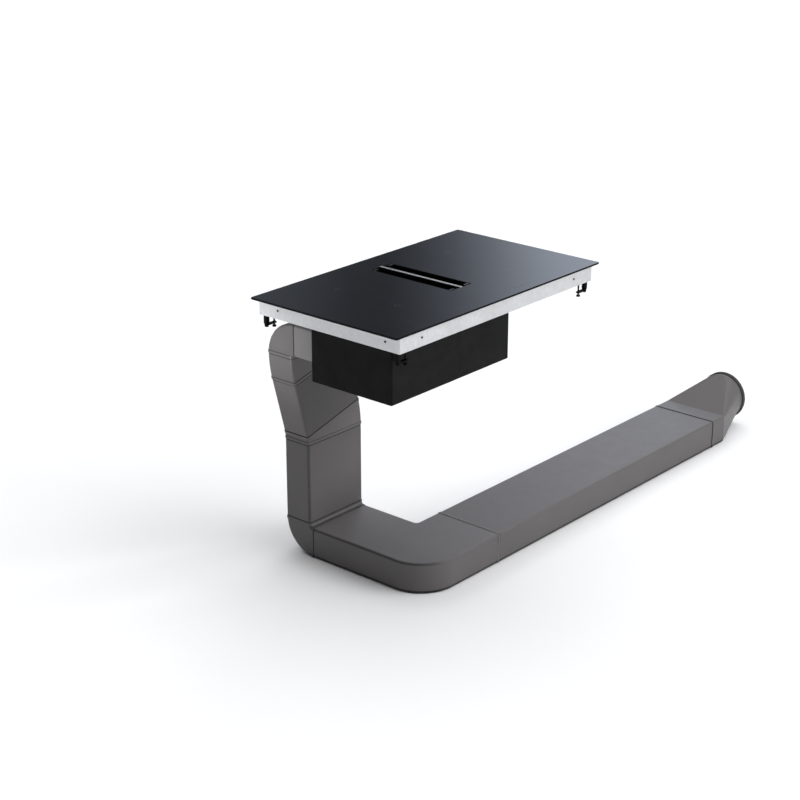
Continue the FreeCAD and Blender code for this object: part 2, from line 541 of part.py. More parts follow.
bell = Part.Face(Part.makePolygon([V(FAN_X + 66, FAN_Y, SC_Z1 - 8), V(FAN_X + 68, FAN_Y, SC_Z1 - 8),
                                   V(FAN_X + 69.5, FAN_Y, SC_Z1), V(FAN_X + 80, FAN_Y, SC_Z1),
                                   V(FAN_X + 80, FAN_Y, SC_Z1 + 8), V(FAN_X + 77, FAN_Y, SC_Z1 + 8),
                                   V(FAN_X + 70, FAN_Y, SC_Z1 + 4), V(FAN_X + 66, FAN_Y, SC_Z1 - 8)]))
bell = bell.revolve(V(FAN_X, FAN_Y, 0), V(0, 0, 1), 360)
save("blower_inlet_ring", bell)

motor = cyl(FAN_X, FAN_Y, SC_Z0 + 2, -152.0, 42.0)
motor = motor.makeFillet(4.0, [e for e in motor.Edges if abs(e.BoundBox.ZMin + 152.0) < 1e-6])
motor = motor.fuse(cyl(FAN_X, FAN_Y, -153.0, -112.0, SHAFT_R)).removeSplitter()
save("blower_motor", motor)

hub = cyl(FAN_X, FAN_Y, -148.0, -114.0, 13.0)
disc = cyl(FAN_X, FAN_Y, -148.0, -146.0, IMP_R)
hoop = ring(FAN_X, FAN_Y, -104.0, -101.0, IMP_R, IMP_R - 15.0)
vanes = []
for k in range(28):
    b = box(IMP_R - 14.5, IMP_R - 0.6, -0.8, 0.8, -147.0, -102.0)
    b.rotate(V(IMP_R - 7, 0, 0), V(0, 0, 1), 32)
    b.rotate(V(0, 0, 0), V(0, 0, 1), 360.0 / 28 * k)
    b.translate(V(FAN_X, FAN_Y, 0))
    vanes.append(b)
imp = disc.multiFuse([hub, hoop] + vanes).removeSplitter()
imp = imp.common(cyl(FAN_X, FAN_Y, -150, -100, IMP_R))
imp = imp.cut(cyl(FAN_X, FAN_Y, -150, -110, SHAFT_R + SHAFT_GAP))
save("impeller", imp)


# ---------------------------------------------------------------------------
# Exhaust duct
# ---------------------------------------------------------------------------
def outline(u0, w0, d, place):
    """Section of the duct, grown by d all round."""
    return rect_face(u0 - d, u0 + DUCT_W + d, w0 - d, w0 + DUCT_H + d, DUCT_R + d, place)


class Mouth:
    """End of a duct piece: its section plane, and the direction from there into the piece."""

    def __init__(self, u0, w0, place, into, turn=None):
        self.u0, self.w0, self.place, self.into, self.turn = u0, w0, place, into, turn

    def face(self, d):
        f = outline(self.u0, self.w0, d, self.place)
        if self.turn:
            f.rotate(*self.turn)
        return f

    def block(self, d, length):
        return self.face(d).extrude(self.into * length)

    def rim(self):
        return self.block(RIM_H, RIM_L)

    def seam(self):
        return SEAM_W_LOW if self.into.z < -0.5 else SEAM_W

    def groove(self):
        return self.block(6.0, self.seam()).cut(self.block(-SEAM_D, self.seam()))

    def seal(self):
        return self.block(SEAM_FILL - SEAM_D, self.seam()).cut(self.block(-SEAM_D, self.seam()))

    def back(self):
        return Mouth(self.u0, self.w0, self.place, self.into * -1, self.turn)


below_floor = box(-600, 1700, -400, 500, FLOOR_Z - 30, FLOOR_Z)
seals = []


def piece(name, outer, void, rims=(), grooves=()):
    """Duct piece: outer body with proud rims, hollowed, with seal grooves at its plain ends."""
    s = outer
    for m in rims:
        s = s.fuse(m.rim())
    s = s.cut(void)
    for m in grooves:
        s = s.cut(m.groove())
        seals.append(m.seal())
    s = s.cut(below_floor).removeSplitter()
    save(name, s)


# outlet piece, with the frame of the non-return damper inside
run = V(0, OUT_Y1 - BOX_Y1, 0)
m_out = Mouth(OUT_X0, OUT_Z0, on_xz(OUT_Y1), V(0, -1, 0))
piece("duct_outlet", outline(OUT_X0, OUT_Z0, 0, on_xz(BOX_Y1)).extrude(run),
      outline(OUT_X0, OUT_Z0, -DUCT_T, on_xz(BOX_Y1)).extrude(run), grooves=[m_out])

DAMP_Y = 96.0
DAMP_X = OUT_X0 + DUCT_W / 2.0
i0, i1 = OUT_X0 + DUCT_T, OUT_X0 + DUCT_W - DUCT_T
k0, k1 = OUT_Z0 + DUCT_T, OUT_Z0 + DUCT_H - DUCT_T
fr = rect_face(i0, i1, k0, k1, DUCT_R - DUCT_T, on_xz(DAMP_Y - 14)).extrude(V(0, 12, 0))
fr = fr.cut(rect_face(i0 + 4, i1 - 4, k0 + 4, k1 - 4, 2.0, on_xz(DAMP_Y - 20)).extrude(V(0, 30, 0)))
mull = box(DAMP_X - 4, DAMP_X + 4, DAMP_Y - 14, DAMP_Y - 2, k0, k1)
lugs = [box(DAMP_X - 7, DAMP_X + 7, DAMP_Y - 3, DAMP_Y + 5, k0, k0 + 4),
        box(DAMP_X - 7, DAMP_X + 7, DAMP_Y - 3, DAMP_Y + 5, k1 - 4, k1)]
fr = fr.multiFuse([mull] + lugs).removeSplitter()
pins = [cyl(DAMP_X + s * 3.5, DAMP_Y + 1.5, k0 + 1, k1 - 1, 1.0) for s in (-1, 1)]
fr = fr.multiFuse(pins).removeSplitter()
save("damper_frame", fr)
for tag, s in (("left", -1), ("right", 1)):
    xa = DAMP_X + s * 3.5
    barrel = cyl(xa, DAMP_Y + 1.5, k0 + 5, k1 - 5, 2.2)
    xb = (i0 + 1.5) if s < 0 else (i1 - 1.5)
    x0, x1 = sorted((xa, xb))
    leaf = box(x0, x1, DAMP_Y - 1.0, DAMP_Y + 0.6, k0 + 5, k1 - 5)
    fl = fuse(leaf, barrel)
    fl = fl.cut(cyl(xa, DAMP_Y + 1.5, k0, k1, 1.0 + SHAFT_GAP))
    save("damper_flap_" + tag, fl)

# top bend: turns the outlet down
m_lean_top = Mouth(OUT_X0, RISER_Y0, on_xy(LEAN_TOP_Z), V(0, 0, -1))
ax = (V(0, OUT_Y1, OUT_Z0 - BEND_IN), V(1, 0, 0), -90)
piece("duct_bend_top", m_out.face(0).revolve(*ax), m_out.face(-DUCT_T).revolve(*ax),
      rims=[m_out.back(), m_lean_top.back()])

# sideways offset: bend, leaning piece, bend
ax_u = V(OUT_X0 + DUCT_W + LEAN_IN, 0, LEAN_TOP_Z)
lean = V(math.sin(LEAN_RAD), 0, -math.cos(LEAN_RAD))
ax = (ax_u, V(0, 1, 0), -LEAN_DEG)
m_lean_a = Mouth(OUT_X0, RISER_Y0, on_xy(LEAN_TOP_Z), lean, ax)
piece("duct_offset_upper", m_lean_top.face(0).revolve(*ax), m_lean_top.face(-DUCT_T).revolve(*ax),
      rims=[m_lean_a.back()], grooves=[m_lean_top])

ax_l = V(RISER_X0 - LEAN_IN, 0, LEAN_BOT_Z)
ax = (ax_l, V(0, 1, 0), -LEAN_DEG)
m_lean_b = Mouth(RISER_X0, RISER_Y0, on_xy(LEAN_BOT_Z), lean * -1, ax)
m_riser_top = Mouth(RISER_X0, RISER_Y0, on_xy(LEAN_BOT_Z), V(0, 0, -1))
piece("duct_offset_straight", m_lean_a.block(0, LEAN_LEN), m_lean_a.block(-DUCT_T, LEAN_LEN),
      grooves=[m_lean_a, m_lean_b])
piece("duct_offset_lower", m_riser_top.face(0).revolve(*ax), m_riser_top.face(-DUCT_T).revolve(*ax),
      rims=[m_lean_b.back(), m_riser_top.back()])

# riser and bottom bend
FOOT_Z = FLOOR_Z + DUCT_H + FOOT_IN
FOOT_Y = RISER_Y0 - FOOT_IN
rise = LEAN_BOT_Z - FOOT_Z
m_riser_low = Mouth(RISER_X0, RISER_Y0, on_xy(FOOT_Z), V(0, 0, 1))
piece("duct_riser", m_riser_top.block(0, rise), m_riser_top.block(-DUCT_T, rise), grooves=[m_riser_top, m_riser_low])
m_corner_in = Mouth(RISER_X0, FLOOR_Z, on_xz(FOOT_Y), V(0, -1, 0))
ax = (V(0, FOOT_Y, FOOT_Z), V(1, 0, 0), -90)
piece("duct_bend_bottom", m_riser_low.face(0).revolve(*ax), m_riser_low.face(-DUCT_T).revolve(*ax),
      rims=[m_riser_low.back(), m_corner_in.back()])

# flat corner bend on the floor
def corner(inset):
    x0, x1 = RISER_X0 + inset, RISER_X0 + DUCT_W - inset
    y0, y1 = RUN_Y0 + inset, RUN_Y0 + DUCT_W - inset
    pts = [(x0, FOOT_Y), (x0, y0), (CORNER_X1, y0), (CORNER_X1, y1), (x1, y1), (x1, FOOT_Y)]
    rad = [0, CORNER_OUT - inset, 0, 0, CORNER_IN + inset, 0]
    face = Part.Face(wire2(pts, rad, on_xy(FLOOR_Z + inset)))
    s = face.extrude(V(0, 0, DUCT_H - 2 * inset))
    keep = []
    for e in s.Edges:
        bb = e.BoundBox
        flat = bb.ZLength < 1e-6
        at_mouth = (bb.YLength < 1e-6 and abs(bb.YMin - FOOT_Y) < 1e-6) or \
                   (bb.XLength < 1e-6 and abs(bb.XMin - CORNER_X1) < 1e-6)
        if flat and not at_mouth:
            keep.append(e)
    return s.makeFillet(DUCT_R - inset, keep)


m_run = Mouth(RUN_Y0, FLOOR_Z, on_yz(CORNER_X1), V(1, 0, 0))
m_run_end = Mouth(RUN_Y0, FLOOR_Z, on_yz(RUN_X1), V(-1, 0, 0))
piece("duct_corner_bend", corner(0.0), corner(DUCT_T), rims=[m_run.back()], grooves=[m_corner_in])

run_len = RUN_X1 - CORNER_X1
piece("duct_floor_run", m_run.block(0, run_len), m_run.block(-DUCT_T, run_len), grooves=[m_run, m_run_end])

# connector sleeve inside the seam of the floor run and the corner bend
t = DUCT_T
sl_o = rect_face(RUN_Y0 + t, RUN_Y0 + DUCT_W - t, FLOOR_Z + t, FLOOR_Z + DUCT_H - t, DUCT_R - t + 0.5, on_yz(CORNER_X1 - 30))
t2 = t + 1.5
sl_i = rect_face(RUN_Y0 + t2, RUN_Y0 + DUCT_W - t2, FLOOR_Z + t2, FLOOR_Z + DUCT_H - t2, DUCT_R - t2, on_yz(CORNER_X1 - 30))
save("duct_connector", sl_o.extrude(V(60, 0, 0)).cut(sl_i.extrude(V(60, 0, 0))))


# flat-to-round adapter
def flat_round(inset, r):
    x0, x1, x2 = RUN_X1, COLLAR_X1, ROUND_X0
    y0, y1 = RUN_Y0 + inset, RUN_Y0 + DUCT_W - inset
    z0, z1 = FLOOR_Z + inset, FLOOR_Z + DUCT_H - inset
    rr = DUCT_R - inset
    place = on_yz(x1)
    # flat outline as four lines and four corner arcs, matched to eight arcs of the circle
    cor = [(y0 + rr, z0 + rr, 180.0), (y1 - rr, z0 + rr, 270.0), (y1 - rr, z1 - rr, 0.0), (y0 + rr, z1 - rr, 90.0)]
    e1, e2 = [], []
    lim = 16.0

    def cp(a):
        return V(x2, ROUND_Y + r * math.cos(math.radians(a)), ROUND_Z + r * math.sin(math.radians(a)))

    for i in range(4):
        cy_, cz_, a0 = cor[i]
        pa = [V(x1, cy_ + rr * math.cos(math.radians(a)), cz_ + rr * math.sin(math.radians(a)))
              for a in (a0, a0 + 45, a0 + 90)]
        e1.append(Part.Arc(*pa).toShape())
        e2.append(Part.Arc(cp(a0 + lim), cp(a0 + 45), cp(a0 + 90 - lim)).toShape())
        ny_, nz_, na = cor[(i + 1) % 4]
        pb = V(x1, ny_ + rr * math.cos(math.radians(na)), nz_ + rr * math.sin(math.radians(na)))
        e1.append(Part.LineSegment(pa[2], pb).toShape())
        e2.append(Part.Arc(cp(a0 + 90 - lim), cp(a0 + 90), cp(a0 + 90 + lim)).toShape())
    w1, w2 = Part.Wire(e1), Part.Wire(e2)
    taper = Part.makeLoft([w1, w2], True, True)
    collar = rect_face(y0, y1, z0, z1, rr, on_yz(x0)).extrude(V(x1 - x0, 0, 0))
    sock = Part.makeCylinder(r, ROUND_X1 - x2, V(x2, ROUND_Y, ROUND_Z), V(1, 0, 0))
    return collar, taper, sock


oc, ot, osk = flat_round(0.0, ROUND_R_OUT)
ic, it, isk = flat_round(DUCT_T, ROUND_R_IN)
piece("round_adapter", oc.fuse(ot).removeSplitter(), ic.fuse(it).removeSplitter(), rims=[m_run_end.back()])
save("outlet_socket", osk.cut(isk))

end_ring = Part.makeCylinder(81.0, END_RING_W, V(ROUND_X1 - END_RING_W, ROUND_Y, ROUND_Z), V(1, 0, 0))
end_ring = end_ring.makeFillet(1.5, [e for e in end_ring.Edges if e.BoundBox.XLength < 1e-6])
end_ring = end_ring.cut(Part.makeCylinder(ROUND_R_OUT, 20.0, V(ROUND_X1 - END_RING_W - 2.0, ROUND_Y, ROUND_Z), V(1, 0, 0)))
save("outlet_end_ring", end_ring)

save("duct_seals", group([x.cut(below_floor) for x in seals]))
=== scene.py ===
import json
import math

import bmesh
import bpy
from mathutils import Matrix, Vector


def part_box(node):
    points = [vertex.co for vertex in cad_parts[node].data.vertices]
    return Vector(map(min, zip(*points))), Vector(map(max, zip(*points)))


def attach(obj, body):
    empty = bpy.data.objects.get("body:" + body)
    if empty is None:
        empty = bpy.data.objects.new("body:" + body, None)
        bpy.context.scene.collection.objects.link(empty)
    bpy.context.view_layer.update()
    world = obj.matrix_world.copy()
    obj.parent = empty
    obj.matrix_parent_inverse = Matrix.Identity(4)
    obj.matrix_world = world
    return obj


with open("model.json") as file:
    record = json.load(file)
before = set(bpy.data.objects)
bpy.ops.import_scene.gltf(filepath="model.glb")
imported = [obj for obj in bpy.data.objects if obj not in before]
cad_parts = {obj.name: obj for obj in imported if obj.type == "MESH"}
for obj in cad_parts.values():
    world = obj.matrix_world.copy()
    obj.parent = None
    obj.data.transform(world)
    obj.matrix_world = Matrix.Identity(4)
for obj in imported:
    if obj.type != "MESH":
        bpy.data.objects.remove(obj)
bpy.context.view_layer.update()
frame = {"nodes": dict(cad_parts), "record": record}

nodes = frame["nodes"]
scene = bpy.context.scene
scene.view_settings.view_transform = "Standard"
scene.view_settings.look = "None"

FLOOR_Z = -0.820


# ---------------------------------------------------------------------------
# Node helpers
# ---------------------------------------------------------------------------
class Mat:
    """A material with a Principled shader and short calls for its pattern nodes."""

    def __init__(self, name, **sockets):
        self.mat = bpy.data.materials.new(name)
        self.mat.use_nodes = True
        self.nt = self.mat.node_tree
        self.bsdf = next(n for n in self.nt.nodes if n.type == "BSDF_PRINCIPLED")
        self.coord = self.nt.nodes.new("ShaderNodeTexCoord")
        for k, v in sockets.items():
            self.bsdf.inputs[k.replace("_", " ")].default_value = v

    def node(self, kind, **props):
        n = self.nt.nodes.new(kind)
        for k, v in props.items():
            setattr(n, k, v)
        return n

    def link(self, a, b):
        self.nt.links.new(a, b)

    def place(self, scale=(1, 1, 1), loc=(0, 0, 0), rot=(0, 0, 0)):
        m = self.node("ShaderNodeMapping")
        m.inputs["Scale"].default_value = scale
        m.inputs["Location"].default_value = loc
        m.inputs["Rotation"].default_value = rot
        self.link(self.coord.outputs["Object"], m.inputs["Vector"])
        return m.outputs["Vector"]

    def noise(self, scale, detail=3.0, rough=0.5, vec=None, distortion=0.0):
        n = self.node("ShaderNodeTexNoise")
        n.inputs["Scale"].default_value = scale
        n.inputs["Detail"].default_value = detail
        n.inputs["Roughness"].default_value = rough
        n.inputs["Distortion"].default_value = distortion
        self.link(vec or self.coord.outputs["Object"], n.inputs["Vector"])
        return n.outputs["Fac"]

    def cells(self, scale, vec=None, feature="F1", out="Color"):
        n = self.node("ShaderNodeTexVoronoi", feature=feature)
        n.inputs["Scale"].default_value = scale
        self.link(vec or self.coord.outputs["Object"], n.inputs["Vector"])
        return n.outputs[out]

    def span(self, fac, lo, hi, a=0.3, b=0.7):
        n = self.node("ShaderNodeMapRange", interpolation_type="SMOOTHSTEP")
        n.inputs["From Min"].default_value = a
        n.inputs["From Max"].default_value = b
        n.inputs["To Min"].default_value = lo
        n.inputs["To Max"].default_value = hi
        self.link(fac, n.inputs["Value"])
        return n.outputs["Result"]

    def ramp(self, fac, *stops):
        n = self.node("ShaderNodeValToRGB")
        els = n.color_ramp.elements
        while len(els) < len(stops):
            els.new(0.5)
        for e, (p, c) in zip(els, stops):
            e.position = p
            e.color = (*c, 1.0)
        self.link(fac, n.inputs["Fac"])
        return n.outputs["Color"]

    def math(self, op, a, b=None, clamp=False):
        n = self.node("ShaderNodeMath", operation=op, use_clamp=clamp)
        for i, v in enumerate((a, b)):
            if v is None:
                continue
            if isinstance(v, (int, float)):
                n.inputs[i].default_value = v
            else:
                self.link(v, n.inputs[i])
        return n.outputs[0]

    def mix(self, fac, a, b, blend="MIX"):
        n = self.node("ShaderNodeMix", data_type="RGBA", blend_type=blend)
        for key, v in (("Factor_Float", fac), ("A_Color", a), ("B_Color", b)):
            sock = next(s for s in n.inputs if s.identifier == key)
            if isinstance(v, (int, float)):
                sock.default_value = v
            elif isinstance(v, tuple):
                sock.default_value = (*v, 1.0)
            else:
                self.link(v, sock)
        return next(s for s in n.outputs if s.identifier == "Result_Color")

    def color(self, out):
        self.link(out, self.bsdf.inputs["Base Color"])
        return self

    def rough(self, out):
        self.link(out, self.bsdf.inputs["Roughness"])
        return self

    def bump(self, height, strength, distance, chain=None):
        n = self.node("ShaderNodeBump")
        n.inputs["Strength"].default_value = strength
        n.inputs["Distance"].default_value = distance
        self.link(height, n.inputs["Height"])
        if chain is not None:
            self.link(chain, n.inputs["Normal"])
        self.link(n.outputs["Normal"], self.bsdf.inputs["Normal"])
        return n.outputs["Normal"]


def tint(c, k):
    return tuple(max(0.0, x * k) for x in c)


def plastic(name, base, vary, rough, grain, grain_mm, spec=0.5, coarse=7.0, foot=None, brow=None, step=None, shade=None,
            lift=None):
    """Moulded plastic: slow tone drift, fine flecks, uneven gloss and a grained skin.

    With foot, the upright faces carry painted contact shadow: a dark line along that height, where they meet the floor.
    With brow, the rounding under that height carries painted shade, darker up to brow[1] along X and fading out by
    brow[2]. With step, the faces that look to -X beyond that X carry painted light, paler, so that the shaded step of a
    low rim there stands out less. With shade, the places that it picks out carry painted shade, and with lift, painted
    light."""
    m = Mat(name, Specular_IOR_Level=spec)
    drift = m.noise(coarse, 4.0, 0.55)
    fleck = m.noise(430.0, 2.0, 0.6)
    tone = m.ramp(drift, (0.30, tint(base, 1 - vary)), (0.72, tint(base, 1 + vary)))
    speck = m.ramp(fleck, (0.35, (0.90, 0.90, 0.90)), (0.65, (1.0, 1.0, 1.0)))
    skin = m.mix(1.0, tone, speck, "MULTIPLY")
    # painted contact shadow: near-black band on the upright faces just above the floor
    if foot is not None:
        at, up = m.node("ShaderNodeSeparateXYZ"), m.node("ShaderNodeSeparateXYZ")
        m.link(m.coord.outputs["Object"], at.inputs["Vector"])
        m.link(m.coord.outputs["Normal"], up.inputs["Vector"])
        low = m.span(at.outputs["Z"], 1.0, 0.0, foot + 0.0075, foot + 0.0110)
        upright = m.span(m.math("ABSOLUTE", up.outputs["Z"]), 1.0, 0.0, 0.94, 0.995)
        skin = m.mix(m.math("MULTIPLY", low, upright), skin, (0.004, 0.0036, 0.0035))
    # painted shade along the rounding under the top edge, fading out along X
    if brow is not None:
        at = m.node("ShaderNodeSeparateXYZ")
        m.link(m.coord.outputs["Object"], at.inputs["Vector"])
        band = m.math("MULTIPLY", m.span(at.outputs["Z"], 0.0, 1.0, brow[0] - 0.0090, brow[0] - 0.0066),
                      m.span(at.outputs["Z"], 1.0, 0.0, brow[0] - 0.0022, brow[0] - 0.0008))
        along = m.span(at.outputs["X"], 0.70, 0.0, brow[1], brow[2])
        skin = m.mix(m.math("MULTIPLY", band, along), skin, tint(base, 0.30))
    # painted light on the -X faces past the rim's step, to offset the shadow there
    if step is not None:
        at, to = m.node("ShaderNodeSeparateXYZ"), m.node("ShaderNodeSeparateXYZ")
        m.link(m.coord.outputs["Object"], at.inputs["Vector"])
        m.link(m.coord.outputs["Normal"], to.inputs["Vector"])
        rise = m.math("MULTIPLY", m.span(at.outputs["X"], 0.0, 1.0, step, step + 0.002),
                      m.span(to.outputs["X"], 1.0, 0.0, -0.8, -0.4))
        skin = m.mix(rise, skin, tint(base, 5.5))
    # painted shade on the places that shade picks out
    if shade is not None:
        skin = m.mix(shade(m), skin, tint(base, 0.42))
    # painted light on the places that lift picks out
    if lift is not None:
        skin = m.mix(lift(m), skin, tint(base, 1.35))
    m.color(skin)
    m.rough(m.span(m.noise(26.0, 5.0, 0.6), rough[0], rough[1]))
    m.bump(m.noise(1000.0 / grain_mm, 2.0, 0.5), grain, 0.00025)
    return m.mat


def metal(name, base, rough, streak, metallic=1.0, aniso=0.0, bump=0.08, vary=0.07):
    """Rolled or brushed metal: streaks along one axis, cloudy gloss."""
    m = Mat(name, Metallic=metallic, Anisotropic=aniso)
    lines = m.noise(1.0, 6.0, 0.65, m.place(scale=streak))
    cloud = m.noise(14.0, 3.0, 0.5)
    tone = m.ramp(lines, (0.25, tint(base, 1 - vary)), (0.75, tint(base, 1 + vary)))
    haze = m.ramp(cloud, (0.3, (0.92, 0.92, 0.92)), (0.7, (1.0, 1.0, 1.0)))
    m.color(m.mix(1.0, tone, haze, "MULTIPLY"))
    m.rough(m.span(m.math("ADD", m.math("MULTIPLY", lines, 0.6), m.math("MULTIPLY", cloud, 0.4)), rough[0], rough[1]))
    m.bump(lines, bump, 0.0002)
    return m.mat


# ---------------------------------------------------------------------------
# Materials, one for each of the record's slots
# ---------------------------------------------------------------------------
def hob_glass():
    m = Mat("hob_glass", IOR=1.50, Specular_IOR_Level=0.5)
    cloud = m.noise(5.0, 3.0, 0.5)
    face = m.ramp(cloud, (0.3, (0.0050, 0.0056, 0.0070)), (0.7, (0.0066, 0.0074, 0.0093)))
    # ground edge and chamfer: dark and duller than the polished face
    sep = m.node("ShaderNodeSeparateXYZ")
    m.link(m.coord.outputs["Normal"], sep.inputs["Vector"])
    edge = m.span(m.math("ABSOLUTE", sep.outputs["Z"]), 1.0, 0.0, 0.80, 0.97)
    m.color(m.mix(edge, face, (0.0026, 0.0027, 0.0030)))
    m.link(m.math("SUBTRACT", 0.5, m.math("MULTIPLY", edge, 0.44)), m.bsdf.inputs["Specular IOR Level"])
    smear = m.noise(11.0, 6.0, 0.7, m.place(scale=(1.0, 0.35, 1.0), rot=(0, 0, 0.5)))
    gloss = m.span(smear, 0.075, 0.125, 0.35, 0.75)
    m.rough(m.math("ADD", gloss, m.math("MULTIPLY", edge, 0.40)))
    m.bump(m.noise(9.0, 2.0, 0.4), 0.02, 0.0008)
    return m.mat


def sheet_metal():
    m = Mat("sheet_metal", Metallic=0.75, Specular_IOR_Level=0.5)
    crystal = m.cells(95.0, m.place(scale=(1.0, 1.0, 1.0)))
    bw = m.node("ShaderNodeRGBToBW")
    m.link(crystal, bw.inputs["Color"])
    spangle = bw.outputs["Val"]
    rolled = m.noise(1.0, 5.0, 0.6, m.place(scale=(9.0, 9.0, 260.0)))
    tone = m.ramp(spangle, (0.2, (0.600, 0.606, 0.616)), (0.8, (0.672, 0.677, 0.686)))
    dull = m.ramp(m.noise(10.0, 4.0, 0.6), (0.3, (0.91, 0.91, 0.905)), (0.7, (1.0, 1.0, 1.0)))
    m.color(m.mix(1.0, tone, dull, "MULTIPLY"))
    m.rough(m.span(m.math("ADD", m.math("MULTIPLY", spangle, 0.5), m.math("MULTIPLY", rolled, 0.5)), 0.38, 0.58))
    first = m.bump(spangle, 0.06, 0.0002)
    m.bump(rolled, 0.08, 0.0002, first)
    return m.mat


def coil_copper():
    m = Mat("coil_copper", Metallic=0.8)
    sep = m.node("ShaderNodeSeparateXYZ")
    m.link(m.coord.outputs["Object"], sep.inputs["Vector"])
    # distance from the nearer coil centre: windings run as rings about it
    x = m.math("SUBTRACT", m.math("ABSOLUTE", sep.outputs["X"]), 0.235)
    y = m.math("SUBTRACT", m.math("ABSOLUTE", m.math("SUBTRACT", sep.outputs["Y"], 0.0225)), 0.1075)
    r = m.math("SQRT", m.math("ADD", m.math("MULTIPLY", x, x), m.math("MULTIPLY", y, y)))
    wave = m.math("SINE", m.math("MULTIPLY", r, 2 * math.pi / 0.0026))
    strand = m.noise(900.0, 2.0, 0.5)
    fac = m.math("ADD", m.math("MULTIPLY", wave, 0.35), strand)
    m.color(m.ramp(fac, (0.15, (0.22, 0.085, 0.035)), (0.85, (0.62, 0.31, 0.16))))
    m.rough(m.span(strand, 0.30, 0.48))
    m.bump(fac, 0.6, 0.0006)
    return m.mat


def board():
    m = Mat("board", Specular_IOR_Level=0.5)
    b = m.node("ShaderNodeTexBrick")
    b.inputs["Scale"].default_value = 55.0
    b.inputs["Mortar Size"].default_value = 0.06
    b.inputs["Color1"].default_value = (0.018, 0.110, 0.045, 1)
    b.inputs["Color2"].default_value = (0.024, 0.140, 0.060, 1)
    b.inputs["Mortar"].default_value = (0.034, 0.190, 0.085, 1)
    m.link(m.coord.outputs["Object"], b.inputs["Vector"])
    mottled = m.ramp(m.noise(30.0, 4.0, 0.6), (0.3, (0.85, 0.85, 0.85)), (0.7, (1.0, 1.0, 1.0)))
    m.color(m.mix(1.0, b.outputs["Color"], mottled, "MULTIPLY"))
    m.rough(m.span(m.noise(160.0, 3.0, 0.5), 0.28, 0.45))
    m.bump(b.outputs["Fac"], 0.15, 0.0003)
    return m.mat


def mica():
    m = Mat("mica", Specular_IOR_Level=0.4)
    flake = m.cells(75.0)
    bw = m.node("ShaderNodeRGBToBW")
    m.link(flake, bw.inputs["Color"])
    m.color(m.ramp(bw.outputs["Val"], (0.2, (0.47, 0.40, 0.28)), (0.8, (0.60, 0.52, 0.37))))
    m.rough(m.span(m.noise(60.0, 4.0, 0.6), 0.45, 0.65))
    m.bump(bw.outputs["Val"], 0.1, 0.0003)
    return m.mat


def rubber(name, base, top=None, faint=None):
    """Dull rubber; with top, its tone goes from base near the floor to top at the upper bend.

    With faint, the strand at X = faint[0] has the tone faint[1]."""
    m = Mat(name, Specular_IOR_Level=0.35)
    cloud = m.noise(40.0, 4.0, 0.6)
    tone = m.ramp(cloud, (0.3, tint(base, 0.85)), (0.7, tint(base, 1.2)))
    if top is not None:
        at = m.node("ShaderNodeSeparateXYZ")
        m.link(m.coord.outputs["Object"], at.inputs["Vector"])
        pale = m.ramp(cloud, (0.3, tint(top, 0.92)), (0.7, tint(top, 1.08)))
        tone = m.mix(m.span(at.outputs["Z"], 0.0, 1.0, -0.62, -0.26), tone, pale)
    if faint is not None:
        at = m.node("ShaderNodeSeparateXYZ")
        m.link(m.coord.outputs["Object"], at.inputs["Vector"])
        away = m.math("ABSOLUTE", m.math("SUBTRACT", at.outputs["X"], faint[0]))
        like = m.ramp(cloud, (0.3, tint(faint[1], 0.96)), (0.7, tint(faint[1], 1.04)))
        tone = m.mix(m.span(away, 1.0, 0.0, 0.015, 0.020), tone, like)
    m.color(tone)
    m.rough(m.span(m.noise(120.0, 3.0, 0.5), 0.62, 0.78))
    m.bump(m.noise(1500.0, 2.0, 0.5), 0.2, 0.0002)
    return m.mat


def ferrite():
    m = Mat("ferrite", Specular_IOR_Level=0.5, Metallic=0.2)
    grit = m.noise(700.0, 4.0, 0.7)
    m.color(m.ramp(grit, (0.3, (0.035, 0.035, 0.038)), (0.7, (0.065, 0.065, 0.070))))
    m.rough(m.span(m.noise(90.0, 3.0, 0.5), 0.5, 0.7))
    m.bump(grit, 0.3, 0.0003)
    return m.mat


def front_edge(low):
    """Picks out the rounding at the front left edge of a node with this lowest corner, where painted shade goes."""
    def pick(m):
        at = m.node("ShaderNodeSeparateXYZ")
        m.link(m.coord.outputs["Object"], at.inputs["Vector"])
        return m.math("MULTIPLY", m.span(at.outputs["X"], 0.62, 0.0, low[0] + 0.0046, low[0] + 0.0072),
                      m.span(at.outputs["Y"], 1.0, 0.0, low[1] + 0.0046, low[1] + 0.0072))
    return pick


def front_face(left, right, x0=-0.25, x1=-0.06):
    """Picks out what looks to the front, by this much at x0 and at x1, where painted shadow or painted light goes."""
    def pick(m):
        at, to = m.node("ShaderNodeSeparateXYZ"), m.node("ShaderNodeSeparateXYZ")
        m.link(m.coord.outputs["Object"], at.inputs["Vector"])
        m.link(m.coord.outputs["Normal"], to.inputs["Vector"])
        return m.math("MULTIPLY", m.span(at.outputs["X"], left, right, x0, x1),
                      m.span(to.outputs["Y"], 1.0, 0.0, -0.95, -0.55))
    return pick


def top_face(m):
    """Picks out what looks straight up, more so towards the back, where painted light goes."""
    at, to = m.node("ShaderNodeSeparateXYZ"), m.node("ShaderNodeSeparateXYZ")
    m.link(m.coord.outputs["Object"], at.inputs["Vector"])
    m.link(m.coord.outputs["Normal"], to.inputs["Vector"])
    return m.math("MULTIPLY", m.span(at.outputs["Y"], 0.35, 0.95, -0.02, 0.20),
                  m.span(to.outputs["Z"], 0.0, 1.0, 0.70, 0.97))


def inner_curve(m):
    """Picks out what looks upward: the hollow of the bend at the duct's foot, where painted shade goes."""
    to = m.node("ShaderNodeSeparateXYZ")
    m.link(m.coord.outputs["Normal"], to.inputs["Vector"])
    return m.span(to.outputs["Z"], 0.0, 0.70, 0.05, 0.40)


